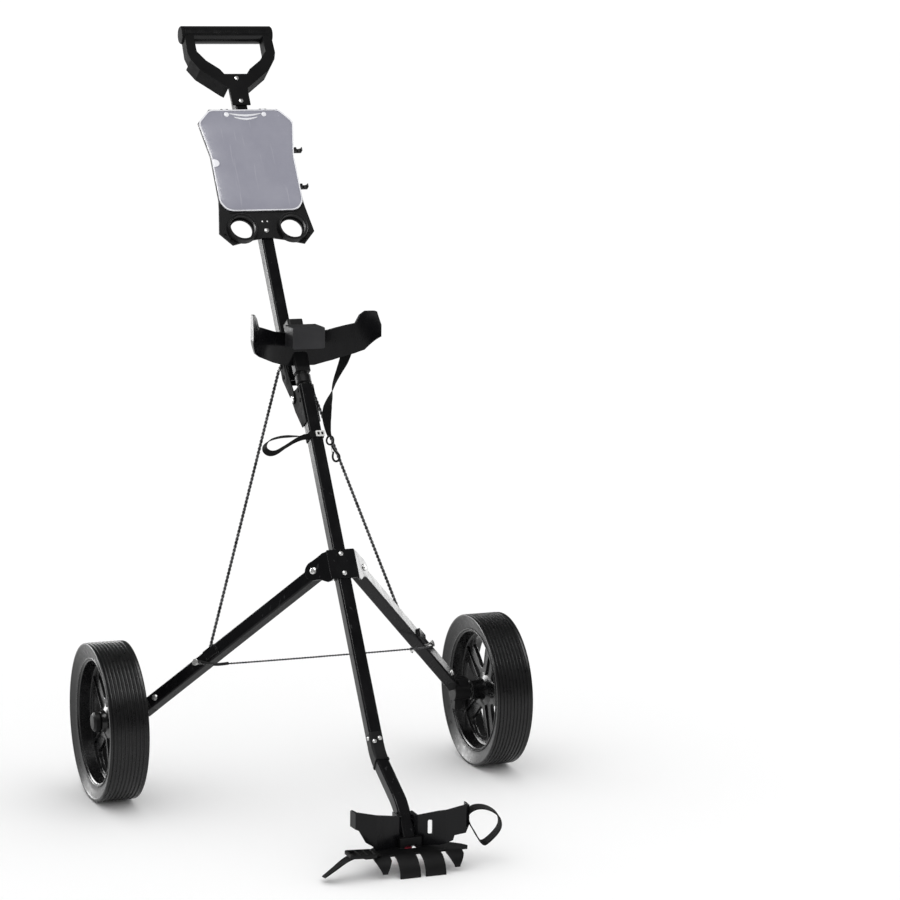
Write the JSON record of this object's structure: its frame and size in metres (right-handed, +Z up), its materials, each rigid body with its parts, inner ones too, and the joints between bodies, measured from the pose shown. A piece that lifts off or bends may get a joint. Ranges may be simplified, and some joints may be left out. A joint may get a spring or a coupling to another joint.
{
  "type": "folding golf pull cart",
  "caption": "Two-wheel folding golf pull cart: leaning square-tube mast, fold-over handle with D grip and scorecard console, splayed legs, bag cradles and ground prongs.",
  "frame": {"origin": "middle of the base of the whole unfolded cart, on the ground it stands on", "axes": "+Z up; +X across the cart towards its right wheel as seen from the bag side; +Y to the rear, where the wheels and the handle are; the bag side faces -Y"},
  "size_m": [0.676, 0.9333, 1.1476],
  "materials": {
    "black_paint": "gloss black enamel with light scuffs",
    "black_plastic": "satin moulded",
    "grey_plastic": "fine grained moulding",
    "grip": "smooth, semi-gloss",
    "bare_steel": "zinc plated",
    "webbing": "woven webbing",
    "wire_rope": "twisted strands",
    "red_plug": "moulded",
    "pale_buckle": "moulded",
    "clear_cover": "smoky translucent sheet",
    "tyre": "fine circumferential ribs",
    "wheel_plastic": "satin moulded"
  },
  "bodies": {
    "frame": {"main_tube": "black_paint", "joint_socket": "black_plastic", "lower_tube": "black_paint", "joint_rivets": "bare_steel", "end_plug": "red_plug", "leg_bracket": "black_paint", "leg_bracket_rivets": "bare_steel", "leg_pins": "bare_steel", "hinge_bracket": "black_paint", "hinge_rivets": "bare_steel", "hinge_pin": "bare_steel", "cradle_post": "black_plastic", "post_cap": "black_plastic", "upper_cradle": "black_paint", "cradle_block": "grey_plastic", "cradle_bolts": "bare_steel", "upper_strap": "webbing", "strap_hook": "black_plastic", "mast_strap": "webbing", "strap_buckle": "pale_buckle", "foot_cradle": "black_paint", "foot_shelf": "black_plastic", "foot_bolts": "bare_steel", "foot_loop": "webbing", "foot_strap": "webbing", "foot_buckle": "black_plastic", "strut_left": "wire_rope", "strut_right": "wire_rope", "tie_left": "wire_rope", "tie_right": "wire_rope"},
    "handle": {"handle_tube": "black_paint", "handle_channel": "black_paint", "channel_rivets": "bare_steel", "strut_pins": "bare_steel", "grip_frame": "black_paint", "grip_bar": "grip", "grip_caps": "grip", "grip_rivets": "bare_steel", "console": "black_plastic", "ball_rings": "black_plastic", "console_rivets": "bare_steel", "cover_lugs": "black_plastic", "pencil_clips": "black_plastic", "cover_pins": "bare_steel"},
    "card_cover": {"card_cover": "clear_cover"},
    "leg_left": {"leg_left": "black_paint", "axle_block_left": "black_plastic", "axle_left": "bare_steel", "leg_bolts_left": "bare_steel"},
    "wheel_left": {"tyre_left": "tyre", "rim_left": "wheel_plastic", "hub_cap_left": "black_plastic"},
    "leg_right": {"leg_right": "black_paint", "axle_block_right": "black_plastic", "axle_right": "bare_steel", "leg_bolts_right": "bare_steel"},
    "wheel_right": {"tyre_right": "tyre", "rim_right": "wheel_plastic", "hub_cap_right": "black_plastic"}
  },
  "joints": [
    {"name": "handle_fold", "type": "hinge", "parent": "frame", "child": "handle", "pos_m": [0, 0.06733, 0.59656], "axis": [-1, 0, 0], "range_deg": [0, 156], "deforming": ["strut_left", "strut_right"]},
    {"name": "leg_right_fold", "type": "hinge", "parent": "frame", "child": "leg_right", "pos_m": [0.0301, -0.09944, 0.36165], "axis": [-0.7581, 0.5406, -0.3646], "range_deg": [0, 50], "deforming": ["tie_right"]},
    {"name": "leg_left_fold", "type": "hinge", "parent": "frame", "child": "leg_left", "pos_m": [-0.0301, -0.09944, 0.36165], "axis": [-0.7581, -0.5406, 0.3646], "range_deg": [0, 50], "deforming": ["tie_left"]},
    {"name": "wheel_right_spin", "type": "hinge", "parent": "leg_right", "child": "wheel_right", "pos_m": [0.308, 0.05738, 0.12], "axis": [1, 0, 0], "continuous": true},
    {"name": "wheel_left_spin", "type": "hinge", "parent": "leg_left", "child": "wheel_left", "pos_m": [-0.308, 0.05738, 0.12], "axis": [1, 0, 0], "continuous": true},
    {"name": "card_cover_flip", "type": "hinge", "parent": "handle", "child": "card_cover", "pos_m": [0, 0.35716, 1.01865], "axis": [-1, 0, 0], "range_deg": [0, 100]}
  ],
  "couplings": [
    {"joint": "leg_right_fold", "follows": "handle_fold", "ratio": 0.3205},
    {"joint": "leg_left_fold", "follows": "handle_fold", "ratio": 0.3205}
  ]
}
